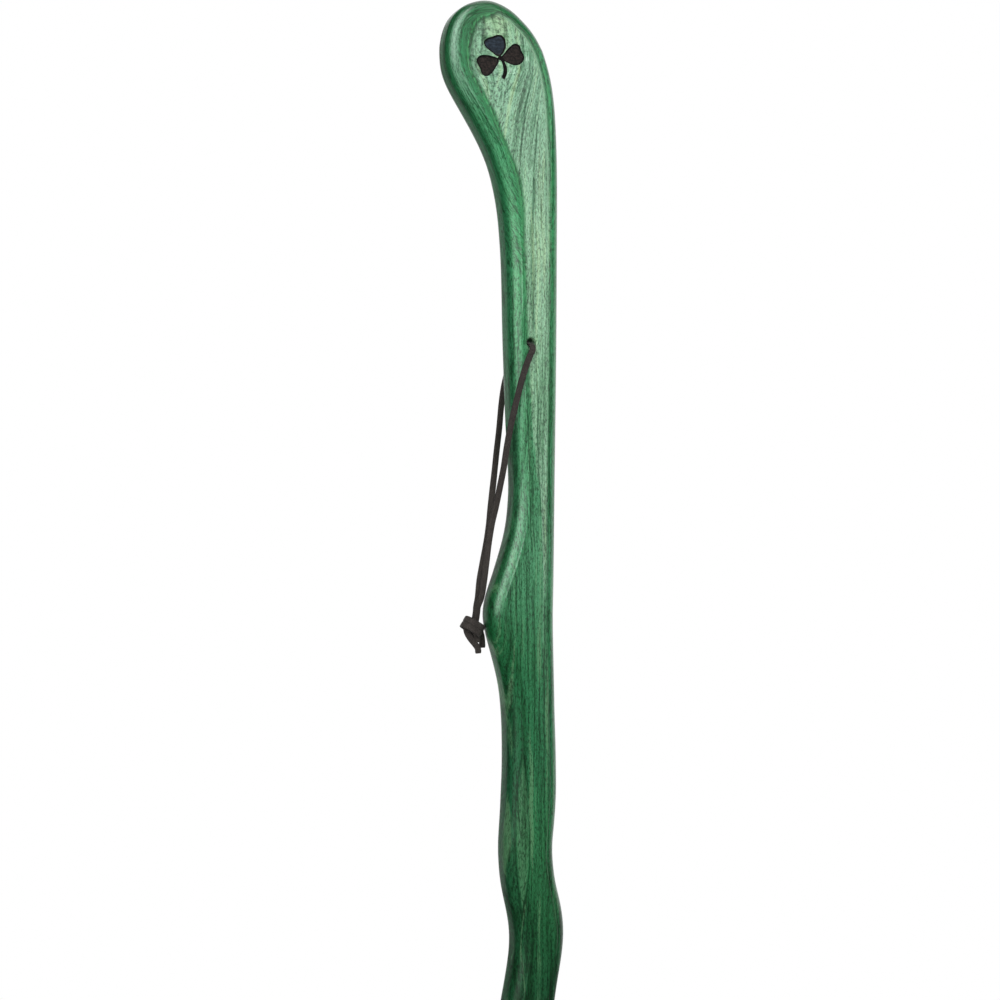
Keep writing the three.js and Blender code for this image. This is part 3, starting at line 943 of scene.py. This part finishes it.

# %% [markdown]
# ## Growth lines
# Noise alone gives an even grain. The eye also finds a few single lines where the saw met a growth ring: they
# fan out on the head and run straight down the shaft, and where the shaft bulges a ring shows as a long
# pointed lens. Each line is a short way of given points, x and z in millimetres, and is measured against the
# place that is being shaded.

# %% Growth lines
growth_lines = [
    ([(-32.2, 239), (-30.0, 224)], 0.5), ([(-27.2, 242), (-27.6, 229)], 0.45),
    ([(-22.5, 233), (-25.3, 219)], 0.45), ([(-14.2, 238), (-22.8, 226)], 0.7),
    ([(-9.3, 250), (-14.2, 234), (-17.5, 222)], 0.7), ([(-1.6, 244), (-7.3, 221), (-11.3, 191)], 0.75),
    ([(1.0, 216), (-0.7, 190)], 0.5), ([(-23.0, 283), (-20.5, 268)], 0.5),
    ([(-1.2, 182), (-2.9, 150), (-2.6, 112), (-1.4, 88)], 1.7), ([(4.2, 170), (3.3, 148)], 0.45),
    ([(0.7, 60), (1.2, 24), (2.4, -8), (3.2, -26)], 0.8), ([(-13.2, -60), (-12.6, -98)], 0.9),
    ([(-5.5, 40), (-4.2, 0), (-3.4, -50)], 0.5), ([(-6.5, -40), (-5.2, -130)], 0.6),
    ([(-1.5, -60), (-0.8, -150)], 0.7), ([(5.5, -70), (5.2, -200)], 0.7), ([(-14, 120), (-13, 60)], 0.5),
    ([(-9.6, -60), (-10.0, -120)], 0.45), ([(2.6, -90), (2.0, -165)], 0.5),
]
line_wobble = 2.4 * MM
core_share = 0.3
joint_soft, top_soft, low_soft = 0.01, 3, 5


def drawn_line(tree, x, z, way, half_width):
    """A dark line through the points of the way, from the top down, that thins out at both ends."""
    mask = 0.0
    last = len(way) - 2
    for i, ((x0, z0), (x1, z1)) in enumerate(zip(way, way[1:])):
        slope = (x1 - x0) / (z1 - z0)
        on_way = calc(tree, "MULTIPLY_ADD", z, slope, (x0 - slope * z0) * MM)
        off = calc(tree, "ABSOLUTE", calc(tree, "SUBTRACT", x, on_way))
        near = smooth_step(tree, off, half_width * core_share * MM, half_width * MM, 1.0, 0.0)
        below_top = smooth_step(tree, z, z0 * MM, (z0 - (joint_soft if i else top_soft)) * MM)
        above_end = smooth_step(tree, z, z1 * MM, (z1 + (low_soft if i == last else joint_soft)) * MM)
        mask = calc(tree, "MAXIMUM", mask, product(tree, near, below_top, above_end))
    return mask


print("growth lines:", len(growth_lines))

# %% Lens
lens_middle = (-8.4, -215)
lens_half = (4.4, 48)
lens_inside_softness = (0.7, 1.0)
lens_outline_at = 1.08
lens_outline_softness = (0.05, 0.16)


def lens_figure(tree, axes):
    """The pale inside of the lens and its dark outline, on the front face alone."""
    beside = calc(tree, "ABSOLUTE", calc(tree, "SUBTRACT", axes["X"], lens_middle[0] * MM))
    beside = calc(tree, "DIVIDE", beside, lens_half[0] * MM)
    along = calc(tree, "DIVIDE", calc(tree, "SUBTRACT", axes["Z"], lens_middle[1] * MM), lens_half[1] * MM)
    reach = calc(tree, "ADD", beside, product(tree, along, along))
    front = calc(tree, "LESS_THAN", axes["Y"], 0.0)
    from_outline = calc(tree, "ABSOLUTE", calc(tree, "SUBTRACT", reach, lens_outline_at))
    inside = product(tree, smooth_step(tree, reach, *lens_inside_softness, 1.0, 0.0), front)
    ring = product(tree, smooth_step(tree, from_outline, *lens_outline_softness, 1.0, 0.0), front)
    return inside, ring


print("lens:", [2 * half for half in lens_half], "mm")

# %% [markdown]
# ## Stain under lacquer
# The stain is laid on wet and rubbed back, so it is deep on the rounded edges and paler on the face. Painted
# light lies over it: a painted highlight along the rim of the head, a painted reflection of the right softbox
# on the pale middle of the face, and painted shade on the left side from the knot down. One ramp of colours
# could not follow that, so the colour is built up in layers, each with its own mask. Heights are in metres
# above the grip, and distances from the outline in millimetres.

# %% What the stain goes by
edge_unevenness = 2.4
right_shares = (0.45, 0.6)

tree, spot = open_finish(stained)
grain = add_node(tree, "ShaderNodeGroup", {"node_tree": ash_grain}).outputs
axes = add_node(tree, "ShaderNodeSeparateXYZ", i0=spot).outputs
height = axes["Z"]
across_share = stored_number(tree, "across")
uneven_inset = around_half(tree, grain["Lines"], edge_unevenness, stored_number(tree, "inset"))
on_right = smooth_step(tree, across_share, *right_shares)
off_right = calc(tree, "SUBTRACT", 1.0, on_right)
print("stain goes by", len(tree.nodes), "nodes")

# %% Deep green on the edges, and painted shade on the left below the knot
crown_heights = (0.262, 0.284)
edge_widths = (3.2, 7.5)
edge_start = 0.4
left_shares = (0.1, 0.45)
left_heights = (-0.1, -0.06)
left_depth = 0.75

edge_width = smooth_step(tree, height, *crown_heights, *edge_widths)
on_edge = smooth_step(tree, uneven_inset, edge_start, edge_width, 1.0, 0.0)
# From the knot down the left half is painted darker: painted shade on that side.
painted_left_shade = product(tree, smooth_step(tree, across_share, *left_shares, 1.0, 0.0),
                    smooth_step(tree, height, *left_heights, left_depth, 0.0))
on_edge = calc(tree, "MAXIMUM", on_edge, painted_left_shade)
colour = mix_colours(tree, on_edge, ramp(tree, height, face_green), ramp(tree, height, edge_green))
print("with edges:", len(tree.nodes), "nodes")

# %% Painted highlight along the rim of the head
highlight_from, highlight_to = (1.0, 2.6), (7.2, 4.8)
highlight_heights, highlight_top = (0.15, 0.19), (0.283, 0.268)
brighter_highlight_heights, highlight_shares = (0.212, 0.245), (0.14, 0.5)

painted_highlight = product(
    tree, smooth_step(tree, uneven_inset, *highlight_from), smooth_step(tree, uneven_inset, *highlight_to), off_right,
    smooth_step(tree, height, *highlight_heights), smooth_step(tree, height, *brighter_highlight_heights, *highlight_shares),
    smooth_step(tree, height, *highlight_top),
)
# A pale grey-green band along the head's round-over: a painted highlight, the reflection of the left softbox.
colour = mix_colours(tree, painted_highlight, colour, srgb("86AB95"))
print("with worn rim:", len(tree.nodes), "nodes")

# %% Pale middle of the face, partly a painted reflection
border_inset = 9.3
right_border_shift = -1.1
border_softness = (-1.0, 1.4)
shaft_heights, shaft_starts = (-0.085, 0.06), (0.75, 0.3)
head_heights = (0.05, 0.12)
pale_heights = (-0.15, -0.09)
start_unevenness = 0.5
start_softness = (-0.04, 0.05)

# The middle of the face is pale partly from the stain and partly from a painted reflection of the right
# softbox. On the shaft the pale part starts further right the lower it lies, as the reflection slides off the
# face. It fades out a little below the grip.
further_in = product(tree, number_ramp(tree, height, border_further_in, furthest_in), off_right)
border = calc(tree, "ADD", calc(tree, "MULTIPLY_ADD", on_right, right_border_shift, border_inset), further_in)
from_border = calc(tree, "SUBTRACT", uneven_inset, border)
on_face = smooth_step(tree, from_border, *border_softness)
sheen_start = smooth_step(tree, height, *shaft_heights, *shaft_starts)
uneven_share = around_half(tree, grain["Streaks"], start_unevenness, across_share)
past_start = smooth_step(tree, calc(tree, "SUBTRACT", uneven_share, sheen_start), *start_softness)
past_start = calc(tree, "MAXIMUM", past_start, smooth_step(tree, height, *head_heights))
pale_and_sheen_share = product(tree, on_face, past_start, smooth_step(tree, height, *pale_heights))
colour = mix_colours(tree, pale_and_sheen_share, colour, ramp(tree, height, pale_and_sheen_green))
print("with pale face:", len(tree.nodes), "nodes")

# %% Dark and bright line along the border
dark_rise, dark_end = (-2.6, -0.7), (0.9, -0.1)
bright_inset = 1.7
bright_softness = (0.2, 0.75)
bright_heights = (0.1, 0.19)

border_line = product(tree, smooth_step(tree, from_border, *dark_rise),
                      smooth_step(tree, from_border, *dark_end))
colour = tint(tree, colour, border_line, 0.45, "7FA68A", "MULTIPLY")
off_line = calc(tree, "ABSOLUTE", calc(tree, "ADD", from_border, bright_inset))
bright_line = product(tree, smooth_step(tree, off_line, *bright_softness, 1.0, 0.0),
                      smooth_step(tree, height, *bright_heights))
colour = tint(tree, colour, bright_line, 0.55, "46A060")
print("with border lines:", len(tree.nodes), "nodes")

# %% Growth lines and lens on the stain
wobble = stretched_noise(tree, spot, (150.0, 150.0, 60.0), detail=2.0)
wobbled_x = around_half(tree, wobble, line_wobble, axes["X"])
drawn = 0.0
for way, half_width in growth_lines:
    drawn = calc(tree, "MAXIMUM", drawn, drawn_line(tree, wobbled_x, height, way, half_width))
lens_inside, lens_ring = lens_figure(tree, axes)
colour = tint(tree, colour, drawn, 0.85, "84A896", "MULTIPLY")
colour = tint(tree, colour, lens_inside, 0.5, "497A54")
colour = tint(tree, colour, lens_ring, 0.7, "7A9F8A", "MULTIPLY")
print("with growth lines:", len(tree.nodes), "nodes")

# %% Streaks, fine lines, pores and dry patches
streak_dark_from, streak_pale_from, streak_dry_from = (0.5, 0.64), (0.5, 0.36), (0.45, 0.34)
line_dark_from, pore_dark_from = (0.52, 0.66), (0.52, 0.62)
dry_heights = (0.1, -0.05)

dark_streak = smooth_step(tree, grain["Streaks"], *streak_dark_from)
pale_streak = product(tree, smooth_step(tree, grain["Streaks"], *streak_pale_from), pale_and_sheen_share)
dark_line = smooth_step(tree, grain["Lines"], *line_dark_from)
dark_pore = smooth_step(tree, grain["Pores"], *pore_dark_from)
dry = product(tree, smooth_step(tree, grain["Streaks"], *streak_dry_from),
              smooth_step(tree, height, *dry_heights))
for mask, strength, code, blend in (
    (dark_streak, 0.75, "9AB8A4", "MULTIPLY"), (pale_streak, 0.3, "AFC58F", "MIX"),
    (dark_line, 0.75, "93B09D", "MULTIPLY"), (dark_pore, 0.6, "9CB8A5", "MULTIPLY"),
    (dry, 0.4, "5F8A62", "MIX"),
):
    colour = tint(tree, colour, mask, strength, code, blend)
print("with grain:", len(tree.nodes), "nodes")

# %% Brightness from fibre to fibre
darkest, brightest = 0.35, 1.42
cloud_softness, cloud_brightness = (0.35, 0.65), (0.88, 1.16)
fleck_contrast, fibre_contrast, band_contrast = 4.6, -2.3, -1.0
fine_brightness = 1.06

cloud = smooth_step(tree, grain["Clouds"], *cloud_softness, *cloud_brightness)
fleck = around_half(tree, grain["Flecks"], fleck_contrast, fine_brightness)
fibre = around_half(tree, grain["Lines"], fibre_contrast, fine_brightness)
band = around_half(tree, grain["Streaks"], band_contrast, 1.0)
brightness = product(tree, cloud, fleck, fibre, band)
brightness = calc(tree, "MINIMUM", calc(tree, "MAXIMUM", brightness, darkest), brightest)
colour = add_node(tree, "ShaderNodeVectorMath", {"operation": "SCALE"}, i0=colour, i3=brightness).outputs[0]
print("with brightness:", len(tree.nodes), "nodes")

# %% Lacquer over open grain
coat_roughness = 0.26
wood_roughness = (0.45, 0.6)
pore_relief = 0.0001
foot_heights, foot_lacquer = (-0.32, -0.12), (0.6, 1.0)


def surface(tree, colour, specular=0.5, **inputs):
    """The last nodes of a finish: a shader of this colour, and the output."""
    shader = add_node(tree, "ShaderNodeBsdfPrincipled", None, **{"Base Color": colour}, **inputs)
    shader.inputs["Specular IOR Level"].default_value = specular
    add_node(tree, "ShaderNodeOutputMaterial", Surface=shader.outputs[0])
    return shader


open_grain = calc(tree, "MAXIMUM", calc(tree, "MULTIPLY", dark_streak, 0.7), dark_pore)
roughness = smooth_step(tree, open_grain, 0.0, 1.0, *wood_roughness)
relief = calc(tree, "MULTIPLY_ADD", calc(tree, "ADD", dark_pore, dark_line), -0.5, 1.0)
bump = add_node(tree, "ShaderNodeBump", Strength=0.3, Distance=pore_relief, Height=relief).outputs[0]
lacquer = product(tree, smooth_step(tree, open_grain, 0.0, 1.0, 1.0, 0.6),
                  smooth_step(tree, height, *foot_heights, *foot_lacquer))
shader = surface(tree, colour, specular=0.1, Roughness=roughness, Normal=bump)
tree.links.new(lacquer, shader.inputs["Coat Weight"])
shader.inputs["Coat Roughness"].default_value = coat_roughness
print("stain and lacquer:", len(tree.nodes), "nodes")

# %% [markdown]
# ## Charred and scorched wood
# The hot tool chars the ledge almost black and only scorches the middle of a leaf, where the wood
# stays brownish. The top leaf catches a cooler light. Plain black would hide the cut, so both
# finishes keep some unevenness.

# %% Charred ledge
tree, spot = open_finish(charred)
soot = stretched_noise(tree, spot, (900.0, 900.0, 600.0))
surface(tree, mix_colours(tree, smooth_step(tree, soot, 0.4, 0.65), srgb("0C0B0B"), srgb("1B1918")),
        specular=0.15, Roughness=0.8)
print("ledge:", len(tree.nodes), "nodes")

# %% Scorched middle
top_leaf_heights = (0.2525, 0.2545)
top_leaf_sides = (-0.0195, -0.0205)
scorch_relief = 0.0002

tree, spot = open_finish(burnt)
axes = add_node(tree, "ShaderNodeSeparateXYZ", i0=spot).outputs
smoke = stretched_noise(tree, spot, (420.0, 420.0, 700.0), detail=5.0, roughness=0.7)
smoky = smooth_step(tree, smoke, 0.4, 0.65)
warm = mix_colours(tree, smoky, srgb("131110"), srgb("352D2A"))
cool = mix_colours(tree, smoky, srgb("1C2229"), srgb("333E49"))
on_top_leaf = product(tree, smooth_step(tree, axes["Z"], *top_leaf_heights),
                      smooth_step(tree, axes["X"], *top_leaf_sides))
bump = add_node(tree, "ShaderNodeBump", Strength=0.3, Distance=scorch_relief, Height=smoke).outputs[0]
surface(tree, mix_colours(tree, on_top_leaf, warm, cool), specular=0.2, Roughness=0.6, Normal=bump)
print("middle:", len(tree.nodes), "nodes")

# %% Hand over the staff
staff_smooth_angle = 35
select_only(staff)
bpy.ops.object.shade_smooth_by_angle(angle=math.radians(staff_smooth_angle))
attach(staff, "staff")
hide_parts("wooden_staff")
report(staff)

# %% [markdown]
# ## Leather
# The thong is dyed right through, waxed and a little fuzzy, and its cut edges are darker. A sheen
# alone would look like cloth, so most of the nap is relief. The attribute that the sweep stored
# says where the edges are.

# %% Leather
nap_relief = 0.0002
leather = bpy.data.materials.new("thong_leather")
tree, spot = open_finish(leather)
nap = stretched_noise(tree, spot, (2600.0, 2600.0, 2600.0), detail=4.0, roughness=0.65)
patches = stretched_noise(tree, spot, (300.0, 300.0, 300.0), detail=2.0)
colour = mix_colours(tree, smooth_step(tree, nap, 0.35, 0.65), srgb("211E1D"), srgb("494440"))
colour = tint(tree, colour, smooth_step(tree, patches, 0.4, 0.65), 0.4, "2C2826")
colour = tint(tree, colour, smooth_step(tree, stored_number(tree, "cut_edge"), 0.9, 1.0), 0.7, "151312")
bump = add_node(tree, "ShaderNodeBump", Strength=0.5, Distance=nap_relief, Height=nap).outputs[0]
shader = surface(tree, colour, specular=0.25, Roughness=0.78, Normal=bump)
shader.inputs["Sheen Weight"].default_value = 0.06
for piece in thong_pieces:
    dress(piece, leather)
print("leather on", len(thong_pieces), "pieces")

# %% [markdown]
# ## Ferrule
# The ferrule is moulded and round about its axis, so one profile makes all of it: tread grooves in
# the foot, a flare, three round beads that keep it from slipping in the hand, a soft rim and the
# bore. The profile starts as a plain ring of corners that are moved to their places, and a spin
# sweeps it round the axis. It could be a stack of cylinders, but then no edge would be soft.

# %% Sizes of the ferrule, in millimetres
foot_radius = 17.5
foot_rounding = 2
body_radius = 14.1
bore_radius = 11.3
ferrule_height = 52
bore_floor = 11
bore_rounding = 0.4
rim_rounding = 1.1
flare_low, flare_high, flare_steps = 8, 24, 12
bead_count, bead_pitch, bead_half, bead_proud, bead_steps = 3, 6.4, 1.5, 1, 6
groove_starts, groove_width, groove_depth = (5, 10.25), 1.8, 1.6
groove_rounding = 0.35
nick = 0.1


def quarter(middle_r, middle_z, radius, start, end, steps=6):
    """Points on an arc about a middle, with the angle from the outward direction upwards."""
    turns = [math.radians(start + (end - start) * i / steps) for i in range(steps + 1)]
    return [(middle_r + radius * math.cos(t), middle_z + radius * math.sin(t)) for t in turns]


def groove(start):
    """One tread groove in section, with its four corners rounded. A nick is the middle of a corner."""
    end = start + groove_width
    return [
        (start - groove_rounding, 0), (start - nick, nick), (start, groove_rounding),
        (start, groove_depth - groove_rounding), (start + nick, groove_depth - nick),
        (start + groove_rounding, groove_depth), (end - groove_rounding, groove_depth),
        (end - nick, groove_depth - nick), (end, groove_depth - groove_rounding),
        (end, groove_rounding), (end + nick, nick), (end + groove_rounding, 0),
    ]


print("ferrule:", 2 * foot_radius, "x", ferrule_height, "mm")

# %% Profile of the ferrule, as pairs of radius and height
profile = [(0, 0)]
for start in groove_starts:
    profile += groove(start)
profile += quarter(foot_radius - foot_rounding, foot_rounding, foot_rounding, -90, 0)
for i in range(flare_steps + 1):
    turn = math.pi / 2 * i / flare_steps
    radius = foot_radius + (body_radius - foot_radius) * math.sin(turn)
    profile.append((radius, flare_low + (flare_high - flare_low) * (1 - math.cos(turn))))
for bead in range(bead_count, 0, -1):
    for i in range(-bead_steps, bead_steps + 1):
        proud = bead_proud * (0.5 + 0.5 * math.cos(math.pi * i / bead_steps))
        profile.append((body_radius + proud, ferrule_height - bead_pitch * bead + bead_half * i / bead_steps))
profile += quarter(body_radius - rim_rounding, ferrule_height - rim_rounding, rim_rounding, 0, 90)
profile += quarter(bore_radius + rim_rounding, ferrule_height - rim_rounding, rim_rounding, 90, 180)
profile += [(bore_radius, bore_floor + bore_rounding), (bore_radius - nick, bore_floor + nick),
            (bore_radius - bore_rounding, bore_floor), (0, bore_floor)]
print("profile corners:", len(profile))

# %% Spin the ferrule
spin_steps = 96
ferrule_smooth_angle = 40
bpy.ops.mesh.primitive_circle_add(vertices=len(profile), radius=foot_radius * MM, fill_type="NOTHING",
                                  location=(0, 0, 0))
ferrule = bpy.context.object
ferrule.name = "turned_ferrule"
for vertex, (radius, rise) in zip(ferrule.data.vertices, profile):
    vertex.co = (radius * MM, 0, foot_z + rise * MM)
bpy.ops.object.mode_set(mode="EDIT")
bpy.ops.mesh.select_mode(type="EDGE")
bpy.ops.mesh.select_all(action="DESELECT")
bpy.ops.object.mode_set(mode="OBJECT")
for edge in ferrule.data.edges:
    edge.select = set(edge.vertices) == {0, len(profile) - 1}
bpy.ops.object.mode_set(mode="EDIT")
bpy.ops.mesh.delete(type="EDGE")
bpy.ops.mesh.select_all(action="SELECT")
bpy.ops.mesh.spin(steps=spin_steps, angle=2 * math.pi, center=(0, 0, 0), axis=(0, 0, 1))
bpy.ops.object.mode_set(mode="OBJECT")
tidy_mesh(ferrule, ferrule_smooth_angle)
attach(ferrule, "ferrule")
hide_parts("rubber_ferrule")
report(ferrule)

# %% [markdown]
# ## Rubber and steel
# The ferrule is moulded black rubber, matt with a fine grain from its mould. The washer is a plain
# bright steel disc with fine marks. It keeps the frame's own form, because it is as simple as that.

# %% Rubber
mould_relief = 0.0001
rubber = bpy.data.materials.new("ferrule_rubber")
tree, spot = open_finish(rubber)
mould = stretched_noise(tree, spot, (3000.0, 3000.0, 3000.0))
bloom = stretched_noise(tree, spot, (120.0, 120.0, 120.0))
bump = add_node(tree, "ShaderNodeBump", Strength=0.25, Distance=mould_relief, Height=mould).outputs[0]
surface(tree, mix_colours(tree, smooth_step(tree, bloom, 0.4, 0.7), srgb("1A1A1B"), srgb("2A2A2B")),
        Roughness=0.7, Normal=bump)
dress(ferrule, rubber)
print("rubber:", len(tree.nodes), "nodes")

# %% Steel
steel = bpy.data.materials.new("washer_steel")
tree, spot = open_finish(steel)
marks = stretched_noise(tree, spot, (4000.0, 4000.0, 400.0), detail=2.0)
surface(tree, srgb("A8ABAD"), Roughness=smooth_step(tree, marks, 0.3, 0.7, 0.28, 0.42), Metallic=1.0)
dress(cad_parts["ferrule_washer"], steel)
print("steel:", len(tree.nodes), "nodes")

# %% [markdown]
# ## Finish
# The view transform is set to Standard, so that a colour shows as it is written.

# %% Finish
bpy.context.scene.view_settings.view_transform = "Standard"
bpy.context.view_layer.update()
